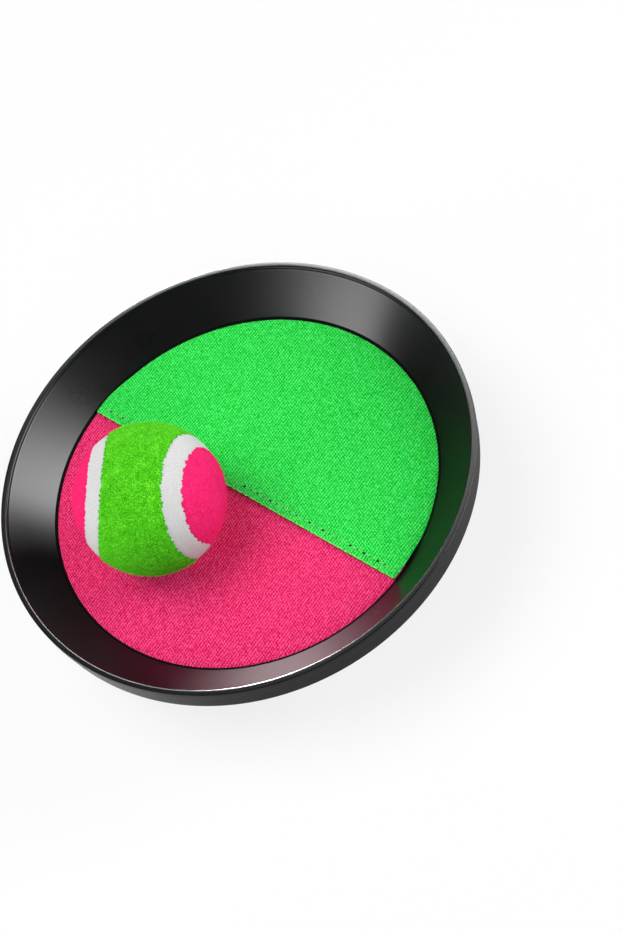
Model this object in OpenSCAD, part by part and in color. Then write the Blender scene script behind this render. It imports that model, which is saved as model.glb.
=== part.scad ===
// Catch paddle: a moulded dish with a two-colour loop pad, a hand strap on its back and a felt ball

/* [Dish] */
// Outer diameter over the rim bead
disc_d = 190; // [176:1:210]
// Wall of the dish floor and of the sloping rim
wall = 2.4; // [1.8:0.1:3.2]
// Height of the lip above the catch pad
lip_rise = 15; // [10:0.5:20]
// Width of the rounded lip, which is also the thickness of the bead
lip_w = 2.6; // [2:0.1:3.6]
// Height of the bead, from the lip's top to the crease
bead_h = 4.2; // [3:0.1:6]
// How far the skirt stands in under the bead
crease = 0.8; // [0.4:0.1:1.2]
// Height of the skirt below the crease
skirt_h = 7.5; // [4:0.5:9]
// Thickness of the skirt
skirt_t = 1.6; // [1.2:0.1:2]

/* [Back rings] */
// Number of raised rings on the dish's back
ring_count = 5; // [0:1:5]
// Radius of the smallest ring
ring_r = 52.3; // [44:0.1:52.4]
// Step in radius from ring to ring
ring_pitch = 4.9; // [3.5:0.1:4.9]
// Width of each ring
ring_w = 1; // [0.6:0.1:1.6]
// Height of each ring
ring_h = 0.7; // [0.4:0.1:1]

/* [Pad] */
// Diameter of the visible catch pad
pad_d = 156; // [152:1:162]
// Thickness of the foam sheet under the pad
foam_t = 3; // [2.4:0.1:4]
// Thickness of the loop fabric
fabric_t = 1.2; // [0.8:0.1:1.6]
// Gap between the pad's edge and the rim's slope
edge_gap = 0.3; // [0.2:0.1:0.6]
// Width of the lap where one half lies over the other
lap_w = 7.6; // [5:0.1:10]
// Direction of the seam, turned about the disc's axis
seam_turn = -61.5; // [-90:0.5:90]
// Distance of the stitch row from the lap's edge
stitch_inset = 3; // [2:0.1:4]
// Length of one stitch
stitch_l = 2.2; // [1.6:0.1:3]
// Step from stitch to stitch
stitch_pitch = 3.3; // [3.1:0.1:5]
// Width of the stitching thread
thread_w = 0.5; // [0.3:0.1:0.8]
// Height of a stitch above the cloth
thread_h = 0.25; // [0.15:0.05:0.4]

/* [Strap] */
// Width of the webbing
strap_w = 34; // [26:1:44]
// Thickness of the webbing
web_t = 1.5; // [1.1:0.1:1.9]
// Room for the hand between the back and the strap
hand_gap = 26; // [18:1:34]
// Half length of the strap's flat middle
flat_half = 30; // [24:1:36]
// Distance of each strap slot from the centre
slot_x = 58; // [52:1:62]
// Clearance round the webbing in a slot
slot_clear = 0.5; // [0.3:0.1:0.8]
// Clearance between the strap and the rings it lies over
seat_gap = 0.3; // [0.2:0.1:0.6]
// Where the peeling end starts, measured from the centre
peel_x = 8; // [4:1:14]
// Where the peeling end stops, measured from the centre
tail_x = 70; // [68:1:74]
// Where the loop end stops, measured from the centre
loop_end_x = 10; // [8:1:16]
// Thickness of the loop tape
loop_t = 0.6; // [0.4:0.1:1]
// Thickness of the hook tape
hook_t = 0.7; // [0.5:0.1:1.1]
// Running gap between hook tape and loop tape
press_gap = 0.3; // [0.3:0.1:0.6]
// Gap across each hinge line of the strap
fold_gap = 0.3; // [0.2:0.1:0.5]
// Margin of the tapes inside the webbing's edges
tape_inset = 2; // [1:0.5:4]
// Where the hook and loop tapes start, measured from the centre
tape_x = 14; // [12:1:20]
// Where the hook and loop tapes stop, measured from the centre
tape_stop_x = 54; // [46:1:56]
// Length of the smooth tab at the strap's end
tab_l = 6.6; // [5:0.1:8]
// Thickness of the smooth tab
tab_t = 1.9; // [1.5:0.1:2.4]
// Length of the coloured stitch bar, along the strap
bar_l = 2.3; // [1.5:0.1:3]
// Height of the stitch bar above the webbing
bar_h = 0.4; // [0.2:0.1:0.6]
// Margin of the stitch bar inside the webbing's edges
bar_inset = 1; // [0.5:0.1:2]

/* [Ball] */
// Diameter of the ball
ball_d = 58; // [50:1:64]
// Distance of the ball from the centre, along the strap
ball_x = 32.3; // [20:0.1:38]
// Distance of the ball from the centre, across the strap
ball_y = -6; // [-12:0.5:12]
// Turn of the ball about the disc's axis
ball_turn = -29.4; // [-90:0.1:90]
// Tip of the line through the ball's upper lobes, out of level
ball_tip = 6.2; // [-30:0.1:30]
// Roll of the ball about that line
ball_roll = 12.4; // [-30:0.1:30]
// Thickness of the felt cover
felt_t = 2.4; // [1.6:0.1:3]
// Wall of the hollow core
core_wall = 3; // [2:0.1:5]
// Depth of the pale seam below the felt
seam_recess = 0.8; // [0.4:0.1:1.2]
// Width of the pale seam, along the ball's surface
pale_w = 7.2; // [4:0.1:9]
// Lift of each lobe's axis towards the other panel's waist, in degrees
lobe_lift = 12.6; // [6:0.1:18]
// Clearance between the felt and the pale seam
felt_clear = 0.1; // [0.1:0.05:0.3]
// Film of glue under the felt
glue_t = 0.1; // [0.1:0.05:0.3]
// Clearance of the ball above the pad
ball_gap = 0.2; // [0.2:0.1:0.6]

/* [Hidden] */
$fn = 96;
arc_steps = 8;
bow_steps = 10;
// Overshoot of a cutting shape past the face it cuts
over = 1;
// Half step for measuring the strap's steepness
probe = 0.05;

// Heights, from the strap's underside up to the lip
lap_off = web_t + loop_t + press_gap + hook_t;
back_z = lap_off + web_t + hand_gap;
plate_z = back_z + ring_h;
floor_z = plate_z + wall;
pad_z = floor_z + foam_t;
pad_top = pad_z + fabric_t;
lip_z = pad_top + lip_rise;
crease_z = lip_z - bead_h;
skirt_z = crease_z - skirt_h;

// Radii of the dish
disc_r = disc_d / 2;
lip_r = lip_w / 2;
lip_in_r = disc_r - lip_w;
pad_r = pad_d / 2;
skirt_r = disc_r - crease;
slope_run = (lip_in_r - pad_r - edge_gap) / (lip_rise - lip_r);
slope_angle = atan(1 / slope_run);
back_foot_r = dish_r(floor_z) + wall * tan(slope_angle / 2);
channel_r = skirt_r - skirt_t;
channel_z = plate_z + (channel_r - back_foot_r) / slope_run;

// Strap joints
hinge_z = back_z - seat_gap - web_t / 2;
knuckle_r = web_t / 2;

// Ball
ball_r = ball_d / 2;
core_r = ball_r - felt_t - glue_t;
felt_in_r = core_r + glue_t;
pale_r = ball_r - seam_recess;

// Angles of the ball's cover: a lobe's rim is an arc that touches its neighbours' arcs
lobe_angle = acos(-pow(sin(lobe_lift), 2)) / 2;
pale_angle = pale_w / ball_r * 90 / PI;
clear_angle = felt_clear / felt_in_r * 180 / PI;

// Radius of the rim's slope at height z
function dish_r(z) = pad_r + edge_gap + (z - pad_top) * slope_run;

// Share of the full bow at distance u from the centre
function ease(u) =
    u <= flat_half ? 1 :
    u >= slot_x ? 0 :
    0.5 + 0.5 * cos(180 * (u - flat_half) / (slot_x - flat_half));

// Height of the strap's inner face, and its steepness
function bow_z(x) = back_z - seat_gap - (hand_gap - seat_gap) * ease(abs(x));
function bow_slope(x) = (bow_z(x + probe) - bow_z(x - probe)) / (2 * probe);

// A point at distance d outside the strap's inner face
function bow_point(x, d) =
    let (m = bow_slope(x), n = sqrt(1 + m * m))
    [x + d * m / n, bow_z(x) - d / n];

// Stations along the strap from x0 to x1
function stations(x0, x1, steps) = [for (i = [0:steps]) x0 + (x1 - x0) * i / steps];

// Distance of the outer strap from the inner face: it closes on the back at the left slot
function outer_off(x) = x < 0 ? lap_off * ease(-x) : lap_off;

// Distance of the peeling end: past the slot it dips towards the dish's back
tail_dip_x = slot_x + knuckle_r + fold_gap;
tail_flat_x = tail_x - tab_l;
function tail_off(x) =
    x <= tail_dip_x ? lap_off :
    x >= tail_flat_x ? tip_off :
    tip_off + (lap_off - tip_off) *
        (0.5 + 0.5 * cos(180 * (x - tail_dip_x) / (tail_flat_x - tail_dip_x)));
tip_off = 2 * seat_gap;

// A band of cloth with its inner edge and outer edge as lists of points in the XZ plane
module band(inner, outer, w) {
    outline = concat(inner, [for (i = [len(outer) - 1:-1:0]) outer[i]]);
    rotate([90, 0, 0])
        translate([0, 0, -w / 2])
            linear_extrude(w) polygon(outline);
}

// A full turn of an outline given as radius and height
module turned(outline) {
    rotate_extrude() polygon(outline);
}

// Points round the end of the webbing on a hinge line, from angle a0 to angle a1
function knuckle(x, a0, a1) = [for (i = [1:arc_steps - 1]) let (a = a0 + (a1 - a0) * i / arc_steps)
    [x + knuckle_r * cos(a), hinge_z + knuckle_r * sin(a)]];

module strap_slot(x) {
    translate([x, 0, plate_z + wall / 2])
        cube([
            web_t + 2 * slot_clear,
            strap_w + 2 * slot_clear,
            wall + 2 * ring_h + 2 * over
        ], center = true);
}

module shell() {
    lip = [for (i = [0:arc_steps]) let (a = 180 - 180 * i / arc_steps)
        [disc_r - lip_r + lip_r * cos(a), lip_z - lip_r + lip_r * sin(a)]];
    outline = concat(
        [[0, plate_z], [0, floor_z], [dish_r(floor_z), floor_z]],
        lip,
        [
            [disc_r, crease_z + crease], [skirt_r, crease_z],
            [skirt_r, skirt_z], [channel_r, skirt_z], [channel_r, channel_z],
            [back_foot_r, plate_z]
        ]
    );
    color("#1b1c1f")
        difference() {
            union() {
                turned(outline);
                for (i = [0:1:ring_count - 1])
                    translate([0, 0, back_z]) turned(ring_outline(ring_r + i * ring_pitch));
            }
            strap_slot(slot_x);
            strap_slot(-slot_x);
        }
}

// Cross-section of a back ring, sunk a little way into the floor
ring_root = ring_h + wall / 4;
function ring_outline(r) = [
    [r - ring_w / 2, 0], [r + ring_w / 2, 0],
    [r + ring_w / 2, ring_root], [r - ring_w / 2, ring_root]
];

// The strap's straight run under the foam, with room round it
module run_channel() {
    translate([0, 0, floor_z])
        cube([
            2 * slot_x + web_t + 2 * slot_clear,
            strap_w + 2 * slot_clear,
            2 * (web_t + edge_gap)
        ], center = true);
}

module pad_foam() {
    color("#d8d5cf")
        difference() {
            translate([0, 0, floor_z])
                cylinder(r1 = dish_r(floor_z) - edge_gap, r2 = dish_r(pad_z) - edge_gap, h = foam_t);
            run_channel();
        }
}

// Room for the fabric: one layer deep, and a second layer over the lap
module pad_space() {
    translate([0, 0, pad_z])
        cylinder(r1 = dish_r(pad_z) - edge_gap, r2 = pad_r, h = fabric_t);
    translate([0, 0, pad_top])
        cylinder(r = pad_r, h = fabric_t);
}

// A cross-section of the pad, drawn across the seam and run along it
module along_seam(outline) {
    rotate([0, 0, seam_turn])
        translate([-disc_r, 0, pad_z])
            rotate([90, 0, 90])
                linear_extrude(disc_d) polygon(outline);
}

module pad_pink() {
    color("#f53778")
        intersection() {
            pad_space();
            along_seam([[-disc_r, 0], [lap_w / 2, 0], [lap_w / 2, fabric_t], [-disc_r, fabric_t]]);
        }
}

module pad_green() {
    step = lap_w / 2 + edge_gap;
    color("#2ddc4b")
        intersection() {
            pad_space();
            along_seam([
                [-lap_w / 2, fabric_t], [step, fabric_t], [step, 0], [disc_r, 0], [disc_r, fabric_t],
                [step + 2 * fabric_t, fabric_t], [step, 2 * fabric_t], [-lap_w / 2, 2 * fabric_t]
            ]);
        }
}

module seam_stitches() {
    row_y = stitch_inset - lap_w / 2;
    half_run = sqrt(pad_r * pad_r - row_y * row_y) - stitch_pitch;
    count = floor(half_run / stitch_pitch);
    color("#27b840")
        rotate([0, 0, seam_turn])
            for (i = [-count:count])
                translate([i * stitch_pitch, row_y, pad_top + fabric_t + thread_h / 2])
                    cube([stitch_l, thread_w, thread_h], center = true);
}

module strap_run() {
    leg_z = hinge_z + knuckle_r + fold_gap;
    color("#141416") {
        translate([0, 0, floor_z + web_t / 2])
            cube([2 * slot_x + web_t, strap_w, web_t], center = true);
        for (side = [-1, 1])
            translate([side * slot_x, 0, (leg_z + floor_z + web_t) / 2])
                cube([web_t, strap_w, floor_z + web_t - leg_z], center = true);
    }
}

module strap_outer() {
    xs = concat(
        stations(-slot_x, -flat_half, 2 * bow_steps),
        [peel_x]
    );
    color("#17171a")
        band(
            concat(knuckle(-slot_x, 270, 90), [for (x = xs) bow_point(x, outer_off(x))]),
            [for (x = xs) bow_point(x, outer_off(x) + web_t)],
            strap_w
        );
}

// Stations of the bow's slope and of the stitch bar, shared by the layers that lie on each other
slope_xs = stations(flat_half, slot_x, 2 * bow_steps);
bar_x = tail_flat_x - bar_l;
bar_xs = stations(bar_x, tail_flat_x, arc_steps);

module strap_tail() {
    xs = concat(
        [peel_x + fold_gap],
        slope_xs,
        [for (x = stations(tail_dip_x, bar_x, bow_steps)) if (x < bar_x) x],
        bar_xs
    );
    color("#17171a")
        band(
            [for (x = xs) bow_point(x, tail_off(x))],
            [for (x = xs) bow_point(x, tail_off(x) + web_t)],
            strap_w
        );
}

// Stations of the hook and loop tapes, which stop at the last shared one
tape_xs = concat([tape_x], [for (x = slope_xs) if (x <= tape_stop_x) x]);

module hook_tape() {
    d = lap_off - hook_t;
    color("#0f0f11")
        band(
            [for (x = tape_xs) bow_point(x, d)],
            [for (x = tape_xs) bow_point(x, lap_off)],
            strap_w - 2 * tape_inset
        );
}

module stitch_bar() {
    color("#d8285f")
        band(
            [for (x = bar_xs) bow_point(x, tail_off(x) + web_t)],
            [for (x = bar_xs) bow_point(x, tail_off(x) + web_t + bar_h)],
            strap_w - 2 * bar_inset
        );
}

module end_tab() {
    xs = [tail_flat_x, tail_x];
    color("#1d1d20")
        band([for (x = xs) bow_point(x, tip_off)], [for (x = xs) bow_point(x, tip_off + tab_t)], strap_w);
}

module strap_loop_end() {
    xs = concat([loop_end_x], slope_xs);
    color("#17171a")
        band(
            concat([for (x = xs) bow_point(x, 0)], knuckle(slot_x, 90, -90)),
            [for (x = xs) bow_point(x, web_t)],
            strap_w
        );
}

module loop_tape() {
    color("#0f0f11")
        band(
            [for (x = tape_xs) bow_point(x, web_t)],
            [for (x = tape_xs) bow_point(x, web_t + loop_t)],
            strap_w - 2 * tape_inset
        );
}

// Puts what follows at the ball's centre, with the green panel's waist as local +Z
module at_ball() {
    translate([-ball_x, ball_y, pad_top + ball_gap + ball_r])
        rotate([ball_roll, ball_tip, ball_turn])
            children();
}

// Gives the lower half the upper half's shape, a quarter turn round
module turned_over() {
    rotate([0, 0, 90]) rotate([180, 0, 0]) children();
}

// The upper half of a hollow ball
module half_ball(r_out, r_in) {
    difference() {
        intersection() {
            sphere(r = r_out);
            translate([-ball_d, -ball_d, 0]) cube(2 * ball_d);
        }
        sphere(r = r_in);
    }
}

// A cone from the ball's centre round the axis of the right lobe (side 1) or the left one (side -1)
module lobe_cone(side, angle) {
    rotate([0, side * (90 - lobe_lift), 0])
        cylinder(h = ball_d, r1 = 0, r2 = ball_d * tan(angle));
}

// Felt of the two lobes on the upper half
module felt_lobes() {
    for (side = [-1, 1])
        intersection() {
            half_ball(ball_r, felt_in_r);
            lobe_cone(side, lobe_angle - pale_angle - clear_angle);
        }
}

// Felt of the waist between the two lobes on the upper half
module felt_waist() {
    difference() {
        half_ball(ball_r, felt_in_r);
        lobe_cone(1, lobe_angle + pale_angle + clear_angle);
        lobe_cone(-1, lobe_angle + pale_angle + clear_angle);
    }
}

// One length of the pale seam, round a lobe of the upper half
module seam_arc(side) {
    intersection() {
        half_ball(pale_r, felt_in_r);
        difference() {
            lobe_cone(side, lobe_angle + pale_angle);
            lobe_cone(side, lobe_angle - pale_angle);
        }
    }
}

module core_half_upper() {
    color("#8a4b3c") at_ball() half_ball(core_r, core_r - core_wall);
}

module core_half_lower() {
    color("#8a4b3c") at_ball() turned_over() half_ball(core_r, core_r - core_wall);
}

module felt_green() {
    color("#50d71e")
        at_ball()
            union() {
                felt_waist();
                turned_over() felt_lobes();
            }
}

module felt_pink() {
    color("#ff2878")
        at_ball()
            union() {
                felt_lobes();
                turned_over() felt_waist();
            }
}

module ball_seam_right() {
    color("#e1dee0") at_ball() seam_arc(1);
}

module ball_seam_left() {
    color("#e1dee0") at_ball() seam_arc(-1);
}

module ball_seam_back() {
    color("#e1dee0") at_ball() turned_over() seam_arc(1);
}

module ball_seam_front() {
    color("#e1dee0") at_ball() turned_over() seam_arc(-1);
}

shell();
pad_foam();
pad_pink();
pad_green();
seam_stitches();
strap_run();
strap_outer();
strap_tail();
hook_tape();
stitch_bar();
end_tab();
strap_loop_end();
loop_tape();
core_half_upper();
core_half_lower();
felt_green();
felt_pink();
ball_seam_right();
ball_seam_left();
ball_seam_back();
ball_seam_front();
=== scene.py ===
import random
from math import acos, cos, exp, hypot, pi, radians, sin, sqrt, tau

import bmesh
import bpy
from mathutils import Euler, Matrix, Vector, noise


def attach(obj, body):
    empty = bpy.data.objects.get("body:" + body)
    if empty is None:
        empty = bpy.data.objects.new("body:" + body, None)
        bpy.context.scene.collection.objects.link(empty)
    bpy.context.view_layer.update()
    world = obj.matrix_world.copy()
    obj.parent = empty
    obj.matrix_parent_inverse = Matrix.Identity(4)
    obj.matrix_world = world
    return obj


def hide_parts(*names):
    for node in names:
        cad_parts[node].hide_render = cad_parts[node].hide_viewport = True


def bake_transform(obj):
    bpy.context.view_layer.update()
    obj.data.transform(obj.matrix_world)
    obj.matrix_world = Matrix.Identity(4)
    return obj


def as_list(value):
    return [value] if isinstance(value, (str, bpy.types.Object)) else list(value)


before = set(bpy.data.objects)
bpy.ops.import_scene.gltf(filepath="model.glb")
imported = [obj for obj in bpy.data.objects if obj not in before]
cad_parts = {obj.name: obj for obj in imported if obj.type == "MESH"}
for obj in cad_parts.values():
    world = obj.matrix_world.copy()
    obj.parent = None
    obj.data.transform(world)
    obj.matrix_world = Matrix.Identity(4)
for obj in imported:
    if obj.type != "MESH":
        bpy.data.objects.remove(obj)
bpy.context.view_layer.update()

scene = bpy.context.scene
mm = 0.001

# camera, fitted to the pad's and the rim's outlines in a picture of 621 x 931
photoView = {
    "elevation": 55.779, "roll": 28.353, "distance": 709, "target": (26.427, -4.985, 34.510),
    "lens": 70.49, "sensor": 36,
}


def linkNew(name, data):
    made = bpy.data.objects.new(name, data)
    scene.collection.objects.link(made)
    return made


def makeCamera(view):
    tilt = radians(view["elevation"])
    roll = radians(view["roll"])
    back = Vector((0, -cos(tilt), sin(tilt)))
    up = Vector((0, sin(tilt), cos(tilt)))
    side = Vector((1, 0, 0))
    pictureRight = cos(roll) * side - sin(roll) * up
    pictureUp = sin(roll) * side + cos(roll) * up
    data = bpy.data.cameras.new("photoCamera")
    data.sensor_width = view["sensor"]
    data.lens = view["lens"]
    camera = linkNew("photoCamera", data)
    place = Matrix((pictureRight, pictureUp, back)).transposed().to_4x4()
    place.translation = (Vector(view["target"]) + back * view["distance"]) * mm
    camera.matrix_world = place
    scene.camera = camera


makeCamera(photoView)
print("camera placed")


# node helpers for the finishes
def newFinish(name):
    finish = bpy.data.materials.new(name)
    finish.use_nodes = True
    return finish


# a socket among the values is linked, a number or colour is set
def setInputs(node, inputs):
    for key, value in inputs.items():
        if isinstance(value, bpy.types.NodeSocket):
            node.id_data.links.new(value, node.inputs[key])
        else:
            node.inputs[key].default_value = value


def dressed(finish, inputs):
    setInputs(finish.node_tree.nodes["Principled BSDF"], inputs)
    return finish


# a node in the given tree, or else in that of the first socket among its inputs
def addNode(kind, inputs={}, tree=None, **settings):
    sockets = [value for value in inputs.values() if isinstance(value, bpy.types.NodeSocket)]
    node = (tree or sockets[0].id_data).nodes.new(kind)
    for key, value in settings.items():
        setattr(node, key, value)
    setInputs(node, inputs)
    return node


def maths(operation, a, b=0.0):
    return addNode("ShaderNodeMath", {0: a, 1: b}, operation=operation).outputs[0]


def times(a, b):
    return maths("MULTIPLY", a, b)


# a sum of (value, weight) pairs
def weighted(first, *others):
    total = times(*first)
    for pair in others:
        total = maths("ADD", total, times(*pair))
    return total


def axesOf(vector):
    return addNode("ShaderNodeSeparateXYZ", {"Vector": vector}).outputs


def lengthOf(vector):
    return addNode("ShaderNodeVectorMath", {0: vector}, operation="LENGTH").outputs["Value"]


def grains(where, size, detail=2.0, rough=0.5):
    return addNode("ShaderNodeTexNoise", {
        "Vector": where, "Scale": 1 / (size * mm), "Detail": detail, "Roughness": rough}).outputs["Fac"]


def lineGrains(along, size):
    return addNode("ShaderNodeTexNoise", {"W": along, "Scale": 1 / (size * mm)},
                   noise_dimensions="1D").outputs["Fac"]


def ramp(value, stops):
    node = addNode("ShaderNodeValToRGB", {"Fac": value})
    bar = node.color_ramp
    stops = list(stops)
    while len(bar.elements) < len(stops):
        bar.elements.new(0.5)
    for element, (at, colour) in zip(bar.elements, stops):
        element.position = at
        element.color = (*colour, 1)
    return node.outputs["Color"]


def spread(value, low, high, start=0.0, end=1.0):
    return addNode("ShaderNodeMapRange", {
        "Value": value, "From Min": start, "From Max": end, "To Min": low, "To Max": high}).outputs["Result"]


def mixColours(share, first, second):
    return addNode("ShaderNodeMix", {0: share, 6: first, 7: second}, data_type="RGBA").outputs[2]


def relief(height, depth, strength=1.0):
    return addNode("ShaderNodeBump", {
        "Height": height, "Distance": depth * mm, "Strength": strength}).outputs["Normal"]


def objectPlace(finish, turn=0.0):
    where = addNode("ShaderNodeTexCoord", tree=finish.node_tree).outputs["Object"]
    return addNode("ShaderNodeMapping", {"Vector": where, "Rotation": (0, 0, turn)}).outputs["Vector"]


# mesh helpers
def linkPiece(name, mesh, finish):
    piece = linkNew(name, mesh)
    mesh.materials.clear()
    mesh.materials.append(finish)
    return piece


def closeMesh(bm):
    bmesh.ops.remove_doubles(bm, verts=bm.verts, dist=1e-6)
    bmesh.ops.recalc_face_normals(bm, faces=bm.faces)


def toMesh(name, bm):
    mesh = bpy.data.meshes.new(name)
    bm.to_mesh(mesh)
    bm.free()
    return mesh


def makePiece(name, bm, finish, sharp=40):
    closeMesh(bm)
    for face in bm.faces:
        face.smooth = True
    mesh = toMesh(name, bm)
    mesh.set_sharp_from_angle(angle=radians(sharp))
    return linkPiece(name, mesh, finish)


def applied(piece):
    graph = bpy.context.evaluated_depsgraph_get()
    mesh = bpy.data.meshes.new_from_object(piece.evaluated_get(graph))
    piece.modifiers.clear()
    old = piece.data
    piece.data = mesh
    mesh.name = piece.name
    bpy.data.meshes.remove(old)


# box-shaped openings, each with its middle at one of the places
def cutBoxes(piece, size, places, sharp):
    cutters = []
    for place in places:
        bm = bmesh.new()
        bmesh.ops.create_cube(bm, size=mm)
        bmesh.ops.scale(bm, vec=size, verts=bm.verts)
        bmesh.ops.translate(bm, vec=Vector(place) * mm, verts=bm.verts)
        cutter = makePiece("boxCutter", bm, piece.data.materials[0])
        cut = piece.modifiers.new("opening", "BOOLEAN")
        cut.operation = "DIFFERENCE"
        cut.solver = "EXACT"
        cut.object = cutter
        cutters.append(cutter)
    applied(piece)
    piece.data.set_sharp_from_angle(angle=radians(sharp))
    for cutter in cutters:
        bpy.data.objects.remove(cutter)


def standsFor(piece, body, slot, *nodes):
    if body:
        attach(piece, body)
    if nodes:
        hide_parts(*nodes)
    return piece


# an outline of (radius, height, rounding) corners, rounded and turned about +Z
def turnedOutline(corners, steps, segments=6, ring=False):
    bm = bmesh.new()
    chain = []
    rounded = {}
    for i, (r, z, soft) in enumerate(corners):
        here = Vector((r, 0, z))
        for j in (i - 1, i, i + 1):
            if j == i:
                chain.append(bm.verts.new(here * mm))
                rounded.setdefault(soft, []).append(chain[-1])
            elif soft and 0 <= j < len(corners):
                other = Vector((corners[j][0], 0, corners[j][1]))
                reach = (other - here).length
                if reach > 4 * soft:        # a holding point keeps long flat faces flat in the shading
                    chain.append(bm.verts.new(here.lerp(other, 2 * soft / reach) * mm))
    rounded.pop(0, None)        # sharp corners stay as they are
    for pair in zip(chain, chain[1:] + chain[:1] if ring else chain[1:]):
        bm.edges.new(pair)
    for soft, verts in rounded.items():
        bmesh.ops.bevel(bm, geom=verts, offset=soft * mm, offset_type="OFFSET", affect="VERTICES",
                        segments=segments, profile=0.5, material=-1)
    bmesh.ops.spin(bm, geom=bm.verts[:] + bm.edges[:], cent=(0, 0, 0), axis=(0, 0, 1),
                   angle=tau, steps=steps, use_merge=True)
    closeMesh(bm)
    return bm


dish = {
    "floor": 33.7, "plate": 31.3, "footRadius": 74.0, "backFoot": 74.95,
    "lipInner": 92.4, "rim": 95.0, "lipTop": 52.9, "lipStart": 51.6,
    "beadEnd": 49.3, "groove": 93.8, "grooveTop": 49.1, "skirtTop": 48.6, "skirtStart": 48.4,
    "skirt": 94.2, "skirtEnd": 41.2, "channel": 92.6, "channelTop": 48.4,
    "outline": [        # radius, height and rounding of each corner, from the floor over the rim to the back
        ("footRadius", "floor", 0.8),
        ("lipInner", "lipStart", 0.25),
        ("lipInner", "lipTop", 1.0),
        ("rim", "lipTop", 0.3),
        ("rim", "beadEnd", 0.45),
        ("groove", "grooveTop", 0.2),
        ("groove", "skirtTop", 0.2),
        ("skirt", "skirtStart", 0.25),
        ("skirt", "skirtEnd", 0.5),
        ("channel", "skirtEnd", 0.5),
        ("channel", "channelTop", 0.6),
        ("backFoot", "plate", 1.2),
    ],
    "ribs": 5, "firstRib": 52.3, "ribPitch": 4.9, "ribWidth": 1.0, "ribTip": 30.6, "ribDraft": 0.06,
    "ribSoft": 0.34, "ribRootSoft": 0.12,
    "turnSteps": 208, "sharp": 30, "slotAt": 58, "slotSize": (2.5, 35, 8), "slotRise": 1.2,
    "flow": 22, "grain": 0.5, "grainDepth": 0.006, "satin": (0.26, 0.3), "specular": 0.15,
    "wallMatt": 0.27, "wallDrop": 0.4, "wallIn": 1.5,
    "tints": [(0.3, (0.0038, 0.0038, 0.0042)), (0.75, (0.0055, 0.0055, 0.006))],
}


# black moulded plastic: satin with a faint flow mottle, matt on the outer wall
def blackPlastic(d):
    finish = newFinish("satinBlackPlastic")
    where = objectPlace(finish)
    flow = grains(where, d["flow"], 3)
    fine = grains(where, d["grain"])
    flat = addNode("ShaderNodeVectorMath", {0: where, 1: (1, 1, 0)}, operation="MULTIPLY").outputs[0]
    outside = maths("GREATER_THAN", lengthOf(flat), (d["rim"] - d["wallIn"]) * mm)
    below = maths("LESS_THAN", axesOf(where)["Z"], (d["lipTop"] - d["wallDrop"]) * mm)
    wall = times(below, outside)
    return dressed(finish, {
        "Base Color": ramp(flow, d["tints"]),
        "Roughness": weighted((spread(flow, *d["satin"]), 1), (wall, d["wallMatt"])),
        "Specular IOR Level": d["specular"],
        "Normal": relief(fine, d["grainDepth"]),
    })


def makeDish(d):
    outline = [(0, d["floor"], 0)]
    outline += [(d[radius], d[height], soft) for radius, height, soft in d["outline"]]
    half = d["ribWidth"] / 2
    for i in reversed(range(d["ribs"])):
        r = d["firstRib"] + i * d["ribPitch"]
        outline += [
            (r + half, d["plate"], d["ribRootSoft"]),
            (r + half - d["ribDraft"], d["ribTip"], d["ribSoft"]),
            (r - half + d["ribDraft"], d["ribTip"], d["ribSoft"]),
            (r - half, d["plate"], d["ribRootSoft"]),
        ]
    outline += [(0, d["plate"], 0)]
    shell = makePiece("dishShell", turnedOutline(outline, d["turnSteps"]), blackPlastic(d), d["sharp"])
    slots = [(side * d["slotAt"], 0, d["plate"] + d["slotRise"]) for side in (-1, 1)]
    cutBoxes(shell, d["slotSize"], slots, d["sharp"])
    standsFor(shell, "paddle", "black_plastic", "shell")


# painted shade: a dark ring that stands in for the shadow in the gap round the pad
gapShade = {
    "low": 36.6, "high": 38.0, "thick": 0.06, "grain": 0.8,
    "tints": [(0.3, (0.002, 0.002, 0.002)), (0.7, (0.005, 0.005, 0.005))],
}


# a matt black ring that shows as a dark line in the gap round the pad: painted shade, a dark sheet standing
# in for the shadow in that gap
def mattGlue(g):
    finish = newFinish("mattGlue")
    fine = grains(objectPlace(finish), g["grain"], 3)
    return dressed(finish, {
        "Base Color": ramp(fine, g["tints"]),
        "Roughness": spread(fine, 0.75, 0.95),
        "Specular IOR Level": 0.02,
        "Normal": relief(fine, 0.05),
    })


def makeGapShade(g, d):
    lean = (d["lipInner"] - d["footRadius"]) / (d["lipStart"] - d["floor"])
    inward = g["thick"] / hypot(1, lean)
    outline = []
    for z, out in ((g["low"], 0), (g["high"], 0), (g["high"], 1), (g["low"], 1)):
        r = d["footRadius"] + (z - d["floor"]) * lean
        outline.append((r - out * inward, z + out * inward * lean, 0))
    # the ring is painted shade round the pad's edge
    ring = makePiece("padGlueLine", turnedOutline(outline, d["turnSteps"], ring=True), mattGlue(g))
    standsFor(ring, "paddle", "black_plastic")


makeDish(dish)
makeGapShade(gapShade, dish)
print("dish turned and slotted")


# a bent wire in mm, standing on its feet
def tinyArch(bend, wire, sweep, tall, sides=4, steps=6):
    bm = bmesh.new()
    bmesh.ops.create_circle(bm, segments=sides, radius=wire)
    bmesh.ops.translate(bm, vec=(bend, 0, 0), verts=bm.verts)
    bmesh.ops.spin(bm, geom=bm.verts[:] + bm.edges[:], cent=(0, 0, 0), axis=(0, -1, 0),
                   angle=radians(sweep), steps=steps)
    bmesh.ops.holes_fill(bm, edges=[e for e in bm.edges if e.is_boundary], sides=0)
    bmesh.ops.scale(bm, vec=(1, 1, tall), verts=bm.verts)
    closeMesh(bm)
    return toMesh("tinyArch", bm)


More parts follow.
